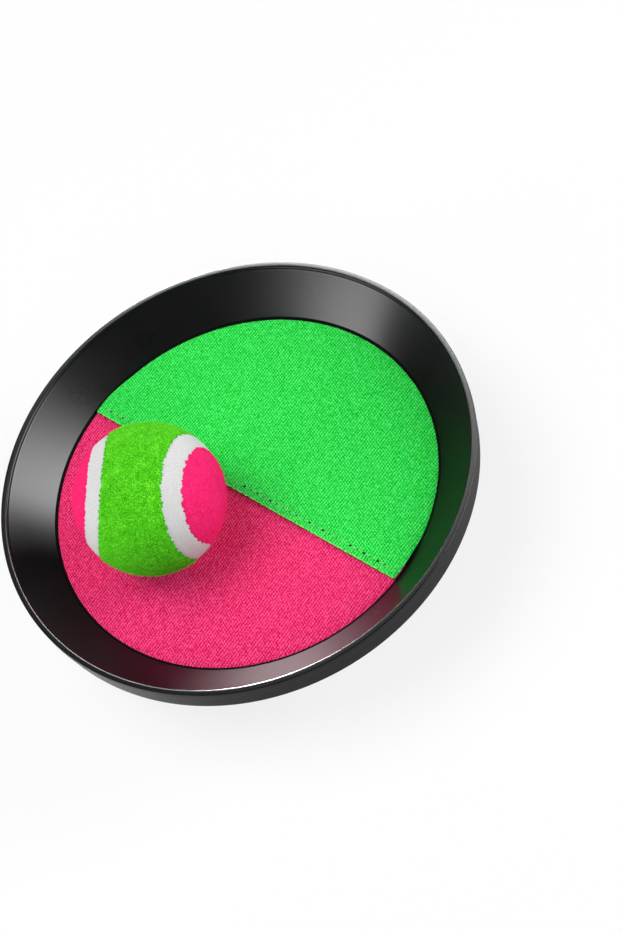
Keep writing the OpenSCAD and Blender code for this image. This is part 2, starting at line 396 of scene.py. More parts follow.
# short closed fibres strewn over a bed mesh, or copies of a small shape set on its corners
def strew(name, bed, finish, s, shape=None):
    piece = makePiece(name, bed, finish)
    tree = bpy.data.node_groups.new(name, "GeometryNodeTree")
    for way in ("INPUT", "OUTPUT"):
        tree.interface.new_socket("Geometry", in_out=way, socket_type="NodeSocketGeometry")
    source = addNode("NodeGroupInput", tree=tree)
    lean = addNode("FunctionNodeRandomValue", {
        0: (-s["lean"], -s["lean"], s["turn"] - s["swing"]),
        1: (s["lean"], s["lean"], s["turn"] + s["swing"]),
        "Seed": s["seed"] + 1}, tree, data_type="FLOAT_VECTOR")
    turn = addNode("FunctionNodeEulerToRotation", {0: lean.outputs[0]})
    if shape:
        points = source.outputs[0]
        one = addNode("GeometryNodeObjectInfo", {"Object": shape}, tree).outputs["Geometry"]
    else:
        strewn = addNode("GeometryNodeDistributePointsOnFaces", {
            "Mesh": source.outputs[0], "Density": s["perSquareMm"] * 1e6, "Seed": s["seed"]})
        points = strewn.outputs["Points"]
        one = addNode("GeometryNodeMeshCone", {
            "Vertices": 3, "Radius Top": 0.0, "Radius Bottom": s["width"] * mm / 2,
            "Depth": s["length"] * mm}, tree).outputs["Mesh"]
        turn = addNode("FunctionNodeRotateRotation", {
            "Rotation": strewn.outputs["Rotation"], "Rotate By": turn.outputs[0]}, rotation_space="LOCAL")
    grow = addNode("FunctionNodeRandomValue", {
        2: s["shortest"], 3: 1.0, "Seed": s["seed"] + 2}, tree, data_type="FLOAT")
    copies = addNode("GeometryNodeInstanceOnPoints", {
        "Points": points, "Instance": one, "Rotation": turn.outputs[0], "Scale": grow.outputs[1]})
    real = addNode("GeometryNodeRealizeInstances", {"Geometry": copies.outputs[0]})
    addNode("NodeGroupOutput", {0: real.outputs[0]})
    piece.modifiers.new("strewn", "NODES").node_group = tree
    applied(piece)
    piece.data.materials.clear()
    piece.data.materials.append(finish)
    return piece


pad = {
    "radius": 77.3, "underRadius": 76.2, "top": 37.75, "thick": 1.0, "cells": 200, "flat": (0.156, 0.0818),
    "lap": 3.8, "lapRise": 1.2, "lapFall": 16, "edgeRoll": 0.5, "edgeWidth": 1.6,
    "wave": 0.06, "waveScale": 0.09, "cutWander": 0.4, "cutRipple": 0.16, "cutDip": 0.12, "cutReach": 1.1,
    "seamTurn": -61.5, "stitchRow": -0.8, "stitchPitch": 3.3, "pucker": 0.16, "puckerReach": 0.8,
    "rowPitch": 1.15, "loopPitch": 1.0, "speck": 0.5,
    "knit": {"rows": 0.13, "loops": 0.09, "speck": 0.7, "lot": 0.25},       # shares of the cloth's relief
    # the lighter tints are a painted highlight on the fibres, the darker ones painted shade in the knit's
    # hollows
    "tintStops": (0.25, 0.48, 0.74),
    "pink": [(0.55, 0.002, 0.055), (0.87, 0.028, 0.17), (0.96, 0.125, 0.34)],
    "green": [(0.002, 0.42, 0.012), (0.018, 0.72, 0.066), (0.13, 0.96, 0.25)],
    "sewn": {       # colours and marks along the seam
        # pale is a painted highlight on the cut edge; dark is painted shade in the needle holes and under the
        # lap's edge
        "pale": (0.36, 0.74, 0.13), "dark": (0.004, 0.02, 0.004), "fray": 0.7, "highlightBand": (-0.1, 0.25),
        "tuft": 1.1, "tuftBand": (0.42, 0.6), "leastTuft": 0.1, "holeReach": 0.5, "holeShadeWeights": (2.2, 0.9),
        "holePoint": 24.0, "pull": 9, "pullBand": (0.35, 0.62), "shadeDrop": 0.4, "shadeReach": 0.5,
    },
    "pile": {"bend": 0.36, "wire": 0.13, "tall": 0.95, "sides": 3, "steps": 3, "jitter": 0.14,
             "jitterSeed": 21, "sink": 0.12, "margin": 0.15, "fromCut": 0.5, "fromStitch": 0.55,
             "lean": 0.35, "swing": 0.5, "shortest": 0.75, "seed": 31},
}
seamMatrix = Matrix.Rotation(radians(pad["seamTurn"]), 4, "Z")


# along the seam: a pale cut edge with loose ends, painted as a highlight, and dark needle holes, every second
# one darker, painted as shade where the holes would be
def sewnEdge(tint, parts, speck, p):
    e = p["sewn"]
    ragged = times(speck, e["fray"] * mm)
    toEdge = maths("SUBTRACT", maths("ADD", parts["Y"], p["lap"] * mm), ragged)
    # painted highlight: a pale band along the cut edge, broken into loose ends
    pale = spread(toEdge, 1, 0, *[edge * mm for edge in e["highlightBand"]])
    loose = spread(lineGrains(parts["X"], e["tuft"]), e["leastTuft"], 1, *e["tuftBand"])
    tint = mixColours(times(pale, loose), tint, (*e["pale"], 1))
    # painted shade in the needle holes, which are not modelled; every second hole is darker
    fromRow = maths("SUBTRACT", parts["Y"], p["stitchRow"] * mm)
    across = maths("DIVIDE", fromRow, e["holeReach"] * mm)
    nearRow = maths("SUBTRACT", 1.0, times(across, across))
    peaks = []
    for first, depth in zip((0.5, 1.5), e["holeShadeWeights"]):
        along = maths("SUBTRACT", parts["X"], first * p["stitchPitch"] * mm)
        turn = times(along, pi / (2 * p["stitchPitch"] * mm))
        wave = maths("ABSOLUTE", maths("COSINE", turn))
        peaks.append((maths("POWER", wave, e["holePoint"]), depth))
    gaping = spread(lineGrains(parts["X"], e["pull"]), 0, 1, *e["pullBand"])
    holes = times(weighted(*peaks), gaping)
    dark = times(nearRow, holes)
    dark.node.use_clamp = True
    # painted shade on the lower part of the lap's cut edge, below its top
    low = maths("LESS_THAN", parts["Z"], (p["top"] + p["lapRise"] - e["shadeDrop"]) * mm)
    past = maths("LESS_THAN", parts["Y"], (e["shadeReach"] - p["lap"]) * mm)
    dark = maths("MAXIMUM", dark, times(low, past))
    return mixColours(dark, tint, (*e["dark"], 1))


# knitted loop cloth: rows across the seam, small loops along them, a speckle of fibres; the tint follows this
# relief, with painted highlight in its whitish upper tints and painted shade in its darker lower tints
def loopCloth(name, tints, p, sewn):
    finish = newFinish(name)
    knit = p["knit"]
    where = objectPlace(finish, -radians(p["seamTurn"]))
    parts = axesOf(where)
    rowTurn = times(parts["X"], tau / (p["rowPitch"] * mm))
    loopTurn = times(parts["Y"], tau / (p["loopPitch"] * mm))
    rows = maths("COSINE", rowTurn)
    loops = maths("COSINE", weighted((loopTurn, 1), (rowTurn, 0.5)))
    speck = grains(where, p["speck"], 1, 0.6)
    halfTurns = [maths("DIVIDE", turn, pi) for turn in (rowTurn, loopTurn)]
    column, rank = [maths("ROUND", turn) for turn in halfTurns]
    cell = addNode("ShaderNodeCombineXYZ", {0: column, 1: rank}).outputs[0]
    lot = addNode("ShaderNodeTexWhiteNoise", {"Vector": cell}, noise_dimensions="2D").outputs["Value"]
    height = weighted((rows, knit["rows"]), (loops, knit["loops"]),
                      (speck, knit["speck"]), (lot, knit["lot"]))
    # tint by relief height: painted shade low down, painted highlight on the tops, over the knit's own
    # pattern
    tint = ramp(height, zip(p["tintStops"], tints))
    return dressed(finish, {
        "Base Color": sewnEdge(tint, parts, speck, p) if sewn else tint,
        "Roughness": 0.9,
        "Specular IOR Level": 0.03,
        "Sheen Weight": 0.04, "Sheen Roughness": 0.4, "Sheen Tint": (*tints[-1], 1),
        "Normal": relief(height, 0.25, 0.9),
    })


# height of the cloth's upper face, in the seam's own axes
def padHeight(x, y, p, green):
    z = p["top"] + p["wave"] * noise.noise(Vector((x, y, 3)) * p["waveScale"])
    outside = max(0, hypot(x, y) - p["radius"] + p["edgeWidth"]) / p["edgeWidth"]
    z -= p["edgeRoll"] * outside ** 2
    if green:
        fall = min(1, max(0, (y - p["lap"] - 0.1) / p["lapFall"]))
        z += p["lapRise"] * (1 - fall * fall * (3 - 2 * fall))
        across = (y - p["stitchRow"]) / p["puckerReach"]
        holes = 0.6 - 0.4 * cos(tau * x / p["stitchPitch"])
        z -= p["pucker"] * holes * exp(-across * across)
        edge = exp(-((y + p["lap"]) / p["cutReach"]) ** 2)
        z += edge * (p["cutRipple"] * noise.noise(Vector((x * 0.22, 7, 1))) - p["cutDip"])
    return z


def padHalf(name, finish, p, green):
    bm = bmesh.new()
    bmesh.ops.create_grid(bm, x_segments=p["cells"], y_segments=p["cells"], size=1)
    for vert in bm.verts:       # a square drawn out to a disc
        x, y, _ = vert.co
        vert.co.x = p["radius"] * x * sqrt(1 - y * y / 2)
        vert.co.y = p["radius"] * y * sqrt(1 - x * x / 2)
    cut = -p["lap"] if green else p["lap"]
    bmesh.ops.bisect_plane(bm, geom=bm.verts[:] + bm.edges[:] + bm.faces[:], dist=1e-4,
                           plane_co=(0, cut, 0), plane_no=(0, 1, 0), clear_inner=green, clear_outer=not green)
    for vert in bm.verts:
        vert.co.z = padHeight(vert.co.x, vert.co.y, p, green)
        if green and abs(vert.co.y - cut) < 1e-3:       # the cut edge isn't quite straight
            vert.co.y += p["cutWander"] * noise.noise(Vector((vert.co.x * 0.8, 2, 5)))
    lower = bmesh.ops.extrude_face_region(bm, geom=bm.faces[:], use_keep_orig=True)["geom"]
    shrink = p["underRadius"] / p["radius"]
    for vert in (v for v in lower if isinstance(v, bmesh.types.BMVert)):
        vert.co.x *= shrink
        vert.co.z -= p["thick"]
        if abs(vert.co.y - cut) > 0.5:
            vert.co.y *= shrink
    bmesh.ops.scale(bm, vec=(mm, mm, mm), verts=bm.verts)
    bmesh.ops.rotate(bm, cent=(0, 0, 0), matrix=seamMatrix.to_3x3(), verts=bm.verts)
    return makePiece(name, bm, finish, 60)


pinkCloth = loopCloth("pinkLoopCloth", pad["pink"], pad, False)
greenCloth = loopCloth("greenLoopCloth", pad["green"], pad, True)
padPink = standsFor(padHalf("padPink", pinkCloth, pad, False), "paddle", "pink_loop", "pad_pink")
padGreen = standsFor(padHalf("padGreen", greenCloth, pad, True), "paddle", "green_loop", "pad_green")
print("pad halves laid")


# the pile: one loop for each stitch of the knit, in rows across the seam
def loopPile(name, finish, p, green):
    pile = p["pile"]
    draw = random.Random(pile["jitterSeed"] + green)
    bm = bmesh.new()
    columns = int(p["radius"] / p["rowPitch"])
    ranks = int(p["radius"] / p["loopPitch"])
    bmesh.ops.create_grid(bm, x_segments=2 * columns, y_segments=2 * ranks, size=1)
    outside = []
    for vert in bm.verts:
        column = round(vert.co.x * columns)
        x = column * p["rowPitch"] + draw.uniform(-1, 1) * pile["jitter"]
        rank = vert.co.y * ranks + 0.5 * (column % 2)
        y = rank * p["loopPitch"] + draw.uniform(-1, 1) * pile["jitter"]
        fromCut = y + p["lap"] if green else p["lap"] - y
        sewnDown = green and abs(y - p["stitchRow"]) < pile["fromStitch"]
        if hypot(x, y) > p["radius"] - pile["margin"] or fromCut < pile["fromCut"] or sewnDown:
            outside.append(vert)
        vert.co = seamMatrix @ Vector((x, y, padHeight(x, y, p, green) - pile["sink"])) * mm
    bmesh.ops.delete(bm, geom=outside, context="VERTS")
    mesh = tinyArch(pile["bend"], pile["wire"], 180, pile["tall"], pile["sides"], pile["steps"])
    mesh.transform(Matrix.Scale(mm, 4))
    loop = linkPiece("pileLoop", mesh, finish)
    piece = strew(name, bm, finish, {**pile, "turn": radians(90 + p["seamTurn"])}, loop)
    bpy.data.objects.remove(loop)
    return standsFor(piece, "paddle", "green_loop" if green else "pink_loop")


pinkPile = loopPile("pinkPile", pinkCloth, pad, False)
greenPile = loopPile("greenPile", greenCloth, pad, True)
print("pile raised:", [len(pile.data.polygons) for pile in (pinkPile, greenPile)], "faces")

# foam sheet under the cloth, with a channel for the strap's run
foam = {
    "low": 33.75, "high": 36.66, "lowRadius": 73.5, "highRadius": 76.5, "soft": 0.5, "sharp": 30,
    "channel": (118.6, 35.2, 3.6), "cell": 0.7, "tints": [(0.0, (0.5, 0.48, 0.45)), (0.6, (0.72, 0.7, 0.66))],
}


def foamCells(f):
    finish = newFinish("closedCellFoam")
    cells = addNode("ShaderNodeTexVoronoi", {
        "Vector": objectPlace(finish), "Scale": 1 / (f["cell"] * mm)}).outputs["Distance"]
    return dressed(finish, {
        "Base Color": ramp(cells, f["tints"]),
        "Roughness": 0.9,
        "Normal": relief(cells, 0.15),
    })


def makeFoam(f):
    outline = [
        (0, f["low"], 0),
        (f["lowRadius"], f["low"], f["soft"]),
        (f["highRadius"], f["high"], f["soft"]),
        (0, f["high"], 0),
    ]
    piece = makePiece("padFoam", turnedOutline(outline, 128, 4), foamCells(f), f["sharp"])
    cutBoxes(piece, f["channel"], [(0, 0, f["low"])], f["sharp"])
    standsFor(piece, "paddle", "foam", "pad_foam")


makeFoam(foam)
print("foam cut")


# sewing thread, as tubes along runs of points in metres
def sewnThread(name, tints, twist):
    finish = newFinish(name)
    ply = addNode("ShaderNodeTexWave", {
        "Vector": objectPlace(finish, 0.6), "Scale": 0.314 / (twist * mm), "Distortion": 1.5}).outputs["Fac"]
    return dressed(finish, {
        # the ply's lighter strands are a painted highlight along the twist
        "Base Color": ramp(ply, zip((0.1, 0.8), tints)),
        "Roughness": 0.55,
        "Specular IOR Level": 0.25,
        "Sheen Weight": 0.1,
        "Normal": relief(ply, 0.05),
    })


def threadPiece(name, runs, finishName, s):
    data = bpy.data.curves.new(name, "CURVE")
    data.dimensions = "3D"
    data.bevel_depth = s["thread"] * mm / 2
    data.bevel_resolution = 1
    data.use_fill_caps = True
    for run in runs:
        spline = data.splines.new("POLY")
        spline.points.add(len(run) - 1)
        for point, place in zip(spline.points, run):
            point.co = (*place, 1)
    curve = linkNew(name, data)
    bm = bmesh.new()
    bm.from_mesh(curve.to_mesh())
    bpy.data.objects.remove(curve)
    return makePiece(name, bm, sewnThread(finishName, s["tints"], s["twist"]), 50)


stitch = {
    "count": 22, "half": 1.2, "thread": 0.42, "arch": 0.2, "sink": 0.5, "slant": 0.14, "twist": 0.3,
    "tints": [(0.03, 0.45, 0.05), (0.28, 0.8, 0.22)],
}


def makeStitches(s, p):
    runs = []
    for i in range(-s["count"], s["count"] + 1):
        run = []
        for k in range(-4, 5):
            t = k / 4
            x = i * p["stitchPitch"] + t * s["half"]
            y = p["stitchRow"] + s["slant"] * t
            z = padHeight(x, y, p, True) + s["arch"] * (1 - t ** 4) - s["sink"] * t ** 8
            run.append(seamMatrix @ Vector((x, y, z)) * mm)
        runs.append(run)
    piece = threadPiece("seamStitches", runs, "greenThread", s)
    return standsFor(piece, "paddle", "green_thread", "seam_stitches")


seamStitches = makeStitches(stitch, pad)
print("seam sewn")

# hand strap: one webbing, drawn on its middle line in X and Z
strap = {
    "width": 34, "thick": 1.5, "slotAt": dish["slotAt"], "flatHalf": 30, "back": 30.6, "seat": 0.3,
    "room": 26, "lap": 3.1, "peelAt": 8.15, "dipAt": 59.05, "tailEnd": 63.4, "tabEnd": 70, "tipOff": 0.6,
    "loopEnd": 10, "legTop": 32.4, "bend": 1.0, "runHeight": 34.45,
    "cell": 0.36, "weave": (2.0, 2.0), "weaveDepth": 0.16, "gloss": 0.36,
    "tints": [(0.004, 0.004, 0.0045), (0.028, 0.028, 0.031)],
}
strap["turns"] = {      # the body before, and where along X the webbing starts and ends its turn
    "strap": ("paddle", -strap["slotAt"], -45),
    "tail": ("strap", strap["peelAt"], 24),
    "loop_end": ("paddle", strap["slotAt"], 45),
}


# 1 up to start, 0 from end on, with a smooth fall between
def fade(x, start, end):
    share = min(1, max(0, (x - start) / (end - start)))
    return 0.5 + 0.5 * cos(pi * share)


def bowHeight(x, s):
    return s["back"] - s["seat"] - (s["room"] - s["seat"]) * fade(abs(x), s["flatHalf"], s["slotAt"])


def bowPoint(x, off, s):
    steep = (bowHeight(x + 0.05, s) - bowHeight(x - 0.05, s)) / 0.1
    scale = hypot(1, steep)
    return Vector((x + off * steep / scale, bowHeight(x, s) - off / scale))


def outerOff(x, s):
    return s["lap"] * fade(-x, s["flatHalf"], s["slotAt"])


def tailOff(x, s):
    return s["tipOff"] + (s["lap"] - s["tipOff"]) * fade(x, s["dipAt"], s["tailEnd"])


def turnInto(piece, body, s):
    before, start, end = s["turns"][body]
    level = bowHeight(start, s) * mm
    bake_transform(piece)


def stations(start, end, step=0.5):
    count = max(1, round(abs(end - start) / step))
    return [start + (end - start) * i / count for i in range(count + 1)]


def arcPoints(cx, cz, r, a0, a1, count=8):
    angles = [radians(a0 + (a1 - a0) * i / count) for i in range(count + 1)]
    return [Vector((cx + r * cos(a), cz + r * sin(a))) for a in angles]


# points at even steps along a path
def evenPath(points, step):
    lengths = [0.0]
    for a, b in zip(points, points[1:]):
        lengths.append(lengths[-1] + (b - a).length)
    count = max(2, round(lengths[-1] / step))
    even = []
    k = 0
    for i in range(count + 1):
        at = lengths[-1] * i / count
        while k < len(points) - 2 and lengths[k + 1] < at:
            k += 1
        even.append(points[k].lerp(points[k + 1], (at - lengths[k]) / max(1e-9, lengths[k + 1] - lengths[k])))
    return even, lengths[-1]


# point on a path's frame: along in steps, across in mm, out from the middle line in mm
def onPath(path, along, across, out):
    i = min(len(path) - 2, max(0, int(along)))
    here = path[i].lerp(path[i + 1], along - i)
    ahead = (path[min(len(path) - 1, i + 2)] - path[max(0, i - 1)]).normalized()
    here = here + Vector((ahead.y, -ahead.x)) * out
    return Vector((here.x, across, here.y)) * mm


# a strip with rounded edges and woven relief: a grid wrapped round the path
def wovenStrip(name, points, width, thick, finish, weave, depth, cell):
    path, length = evenPath(points, cell)
    straight = width - thick
    around = 2 * straight + pi * thick
    cells = 2 * round(around / cell / 2)
    bm = bmesh.new()
    bmesh.ops.create_grid(bm, x_segments=len(path) - 1, y_segments=cells, size=1)
    laid = bm.loops.layers.uv.new("weave")
    for face in bm.faces:
        for corner in face.loops:
            x, y, _ = corner.vert.co
            corner[laid].uv = ((x + 1) / 2 * length, (y + 1) / 2 * around)
    for vert in bm.verts:
        along = (vert.co.x + 1) / 2
        v = (vert.co.y + 1) / 2 * around
        side = v % (around / 2)
        sign = 1 if v < around / 2 or v >= around - 1e-9 else -1
        if v >= around - 1e-9:
            side = 0
        if side <= straight:
            across, out = side - straight / 2, thick / 2
            edge = min(1, (straight / 2 - abs(across)) / 1.2)
            wave = cos(tau * along * length / weave[0]) * cos(tau * across / weave[1])
            out -= depth * (0.5 - 0.5 * wave) * (0.35 + 0.65 * edge)
        else:
            a = pi / 2 - (side - straight) / (thick / 2)
            rib = 0.12 * depth * cos(tau * along * length / weave[0] * 2)
            across = straight / 2 + (thick / 2 - rib) * cos(a)
            out = (thick / 2 - rib) * sin(a)
        vert.co = onPath(path, along * (len(path) - 1), across * sign, out * sign)
    bmesh.ops.remove_doubles(bm, verts=bm.verts, dist=1e-6)
    bmesh.ops.holes_fill(bm, edges=[e for e in bm.edges if e.is_boundary], sides=0)
    return makePiece(name, bm, finish, 60), path, length


# nylon webbing: yarn tops painted lighter as a highlight, gaps painted darker as shade
def webbing(name, weave, tints, gloss):
    finish = newFinish(name)
    dark, light = tints
    between = [(a + b) / 2 for a, b in zip(dark, light)]
    where = addNode("ShaderNodeUVMap", tree=finish.node_tree, uv_map="weave").outputs["UV"]
    parts = axesOf(where)
    along = maths("COSINE", times(parts["X"], tau / weave[0]))
    across = maths("COSINE", times(parts["Y"], tau / weave[1]))
    over = times(along, across)
    strands = maths("SINE", times(parts["Y"], tau / (weave[1] / 9)))
    fibre = addNode("ShaderNodeTexNoise", {"Vector": where, "Scale": 3.0, "Detail": 2.0}).outputs["Fac"]
    # the height's low end is painted shade in the gaps, its high end a painted highlight on the yarn tops
    height = weighted((over, 0.4), (strands, 0.05), (fibre, 1))
    return dressed(finish, {
        "Base Color": ramp(height, [(0.3, dark), (0.75, between), (0.95, light)]),
        "Roughness": spread(height, gloss + 0.2, gloss),
        "Specular IOR Level": 0.25,
        "Normal": relief(height, 0.12, 0.7),
    })


def makeStrap(s):
    half, bend, slot = s["thick"] / 2, s["bend"], -s["slotAt"]
    knee = s["back"] - s["seat"] - half + bend
    start = slot + bend + 0.4
    turn = [Vector((slot, s["legTop"])), Vector((slot, knee + 0.4))]
    turn += arcPoints(slot + bend, knee, bend, 180, 270)
    run = s["runHeight"] - bend
    rise = [Vector((slot, s["legTop"])), Vector((slot, run - 0.2))]
    rise += arcPoints(slot + bend, run, bend, 180, 90)
    mirrored = [[Vector((-q.x, q.y)) for q in reversed(points)] for points in (turn, rise)]
    paths = {
        "strapOuter": turn + [bowPoint(x, outerOff(x, s) + half, s) for x in stations(start, s["peelAt"])],
        "strapTail": [bowPoint(x, tailOff(x, s) + half, s) for x in stations(s["peelAt"], s["tailEnd"], 0.3)],
        "strapLoopEnd": [bowPoint(x, half, s) for x in stations(s["loopEnd"], -start)] + mirrored[0],
        "strapRun": rise + mirrored[1],
    }
    held = {        # node, body, how the strip is held and on what
        "strapOuter": ("strap_outer", "strap", "stretched", ["dishShell", "strapRun"]),
        "strapTail": ("strap_tail", "tail", "stretched", ["strapOuter", "loopTape"]),
        "strapLoopEnd": ("strap_loop_end", "loop_end", "stretched", ["dishShell", "strapRun"]),
        "strapRun": ("strap_run", "paddle", "laid", ["dishShell"]),
    }
    finish = webbing("blackWebbing", s["weave"], s["tints"], s["gloss"])
    strips = {}
    for name, points in paths.items():
        node, body, hold, under = held[name]
        turns = body in s["turns"]
        cell = s["cell"] if turns else 2 * s["cell"]
        strip, _, length = wovenStrip(name, points, s["width"], s["thick"], finish, s["weave"],
                                      s["weaveDepth"], cell)
        standsFor(strip, None if turns else body, "webbing", node)
        if turns:
            turnInto(strip, body, s)
        strips[name] = (strip, length, hold, under)
    return strips


strips = makeStrap(strap)
print("strap woven:", {name: round(row[1], 1) for name, row in strips.items()}, "mm")

# hook tape and loop tape, with their hooks and loops
tapes = {
    "start": 14, "end": 53.8, "width": 30, "base": 0.3, "hookTop": 3.1, "loopTop": 1.5, "margin": 0.6,
    "hookPitch": (1.35, 1.3), "hookBend": 0.15, "wire": 0.075, "hookTall": 1.5, "hookSweep": 215,
    "loops": 1500, "loopBend": 0.2, "loopWire": 0.035, "loopTall": 1.1, "seed": 11,
    "hookWeave": (0.9, 0.9), "hookTints": [(0.003, 0.003, 0.0035), (0.014, 0.014, 0.016)],
    "loopWeave": (0.8, 0.8), "loopTints": [(0.004, 0.004, 0.0045), (0.022, 0.022, 0.024)],
    "relief": 0.04, "cell": 0.5, "hookGloss": 0.45, "loopGloss": 0.6,
}


# copies of a small shape set along a path: each place is along, across, turn and growth
def setAlong(name, shape, places, path, step, base, sign, finish):
    bm = bmesh.new()
    for along, across, turn, grow in places:
        first = len(bm.verts)
        bm.from_mesh(shape)
        bm.verts.ensure_lookup_table()
        turned = Matrix.Rotation(turn, 3, "Z") * grow
        for vert in bm.verts[first:]:
            x, y, z = turned @ vert.co
            vert.co = onPath(path, (along + x) / step, across + y, sign * (base + z))
    return makePiece(name, bm, finish)


def hookPlaces(t, length, draw):
    rowPitch, columnPitch = t["hookPitch"]
    columns = int((t["width"] - 2) / columnPitch)
    for i in range(int((length - 2) / rowPitch)):
        for j in range(columns):
            along, across = 1 + (i + 0.5) * rowPitch, (j + 0.5 - columns / 2) * columnPitch
            turn = pi * (j % 2) + draw.uniform(-0.1, 0.1)
            yield along, across, turn, draw.uniform(0.9, 1.0)


def loopPlaces(t, length, draw):
    for _ in range(t["loops"]):
        along = draw.uniform(t["margin"], length - t["margin"])
        across = draw.uniform(t["margin"], t["width"] - t["margin"]) - t["width"] / 2
        turn = draw.uniform(0, tau)
        yield along, across, turn, draw.uniform(0.7, 1.25)


def makeTapes(t, s):
    draw = random.Random(t["seed"])
    half = t["base"] / 2
    hook = tinyArch(t["hookBend"], t["wire"], t["hookSweep"], t["hookTall"])
    loop = tinyArch(t["loopBend"], t["loopWire"], 180, t["loopTall"])
    kinds = {
        "hook": (t["hookTop"] - half, -1, hook, hookPlaces, "tail", "strapTail"),
        "loop": (t["loopTop"] + half, 1, loop, loopPlaces, "loop_end", "strapLoopEnd"),
    }
    for kind, (off, sign, shape, places, body, under) in kinds.items():
        finish = webbing(kind + "TapeWeave", t[kind + "Weave"], t[kind + "Tints"], t[kind + "Gloss"])
        points = [bowPoint(x, off, s) for x in stations(t["start"], t["end"])]
        tape, path, length = wovenStrip(kind + "Tape", points, t["width"], t["base"], finish, t["hookWeave"],
                                        t["relief"], t["cell"])
        step = length / (len(path) - 1)
        spots = places(t, length, draw)
        field = setAlong(kind + "Field", shape, spots, path, step, half, sign, finish)
        node = kind + "_tape"
        standsFor(tape, None, node, node)
        standsFor(field, None, node)
        for piece in (tape, field):
            turnInto(piece, body, s)


makeTapes(tapes, strap)
for strip, length, hold, under in strips.values():
    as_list(under)
print("tapes hooked and looped")

# folded tab and the dense stitch bar at the strap's end
tab = {
    "layer": 0.88, "fold": 0.5, "gap": 0.01, "weave": (0.7, 0.7), "depth": 0.03, "cell": 0.45, "gloss": 0.4,
    "tints": [(0.008, 0.008, 0.009), (0.016, 0.016, 0.018)],
}
bar = {
    "start": 61.2, "end": 63.3, "margin": 1.2, "pitch": 0.3, "thread": 0.4, "lift": 0.1, "arch": 0.14,
    "sink": 0.12, "wander": 0.12, "seed": 5, "twist": 0.25, "tints": [(0.42, 0.015, 0.09), (0.8, 0.06, 0.22)],
}


def makeTab(t, s):
    turnAt = s["tabEnd"] - t["fold"] - t["layer"] / 2
    inner = s["tipOff"] + t["layer"] / 2 + t["gap"]
    level = bowHeight(s["slotAt"], s) - inner
    points = [Vector((x, level)) for x in stations(s["tailEnd"], turnAt)]
    points += arcPoints(turnAt, level - t["fold"], t["fold"], 90, -90)
    points += [Vector((x, level - 2 * t["fold"])) for x in stations(turnAt, s["tailEnd"])]
    finish = webbing("smoothTabTape", t["weave"], t["tints"], t["gloss"])
    piece, _, length = wovenStrip("endTab", points, s["width"], t["layer"], finish, t["weave"], t["depth"],
                                  t["cell"])
    standsFor(piece, "tail", "tab_tape", "end_tab")


def makeBar(b, s):
    draw = random.Random(b["seed"])
    run = []
    count = int((s["width"] - 2 * b["margin"]) / b["pitch"])
    for i in range(count):
        y = -s["width"] / 2 + b["margin"] + i * b["pitch"]
        ends = (b["start"], b["end"]) if i % 2 else (b["end"], b["start"])
        wander = draw.uniform(-b["wander"], b["wander"])
        for k in range(5):
            t = k / 4
            off = abs(2 * t - 1)
            x = ends[0] + (ends[1] - ends[0]) * t + wander * (1 - off)
            lift = b["lift"] + b["arch"] * (1 - off ** 4) - b["sink"] * off ** 6
            q = bowPoint(x, tailOff(x, s) + s["thick"] + lift, s)
            run.append(Vector((q.x, y + b["pitch"] * t, q.y)) * mm)
    piece = threadPiece("stitchBar", [run], "pinkThread", b)
    standsFor(piece, "tail", "pink_thread", "stitch_bar")


makeTab(tab, strap)
makeBar(bar, strap)
print("strap's end sewn")

# ball: two felt panels shaped like dog bones, with a pale seam where they meet
ball = {
    "centre": (-32.3, -6, 67.1), "turns": (12.4, 6.2, -29.4),
    "radius": 28.7, "seamRadius": 28.6, "inner": 26.62, "fullRadius": 29, "lift": 12.6, "seamWidth": 7.9,
    "fineness": 7, "soft": 1.0, "roll": 0.15, "ragged": 1.15, "clear": 0.45, "napSink": 0.2,
    "rootShade": (-0.35, 0.45), "tintStops": (0.36, 0.5, 0.63), "broad": 5,
    "green": [(0.014, 0.29, 0.001), (0.083, 0.6, 0.011), (0.27, 0.93, 0.05)],
    "pink": [(0.72, 0.008, 0.1), (0.99, 0.022, 0.19), (1.0, 0.05, 0.27)],
    "pale": [(0.58, 0.575, 0.58), (0.69, 0.69, 0.69), (0.76, 0.76, 0.76)],
    "layers": {     # zone, finish, clump, sheen, radius, lump and nap
        "feltGreen": ("green", "greenFelt", 0.42, 0.15, "radius", 0.14, "nap"),
        "feltPink": ("pink", "pinkFelt", 0.42, 0.1, "radius", 0.14, "nap"),
        "ballSeam": ("pale", "paleSeamNap", 0.4, 0.05, "seamRadius", 0.03, "shortNap"),
    },
    "nap": {"perSquareMm": 7.0, "width": 0.16, "length": 1.1, "lean": 1.1, "shortest": 0.35, "seed": 3},
    "shortNap": {"perSquareMm": 5.0, "width": 0.14, "length": 0.35, "lean": 1.2, "shortest": 0.5, "seed": 8},
    "panelFlat": (0.0395, 0.117), "panelArea": 0.00385,
}
ballTurn = Euler([radians(turn) for turn in ball["turns"]])
ballPlace = Matrix.Translation(Vector(ball["centre"]) * mm) @ ballTurn.to_matrix().to_4x4()
lift = radians(ball["lift"])
upperLobes = [Vector((side * cos(lift), 0, sin(lift))) for side in (1, -1)]
lowerLobes = [Vector((0, side * cos(lift), -sin(lift))) for side in (1, -1)]
lobeAngle = acos(-sin(lift) ** 2) / 2
seamHalf = ball["seamWidth"] / ball["fullRadius"] / 2
rims = (lobeAngle - seamHalf, lobeAngle + seamHalf)
zones = ("pink", "pale", "green")


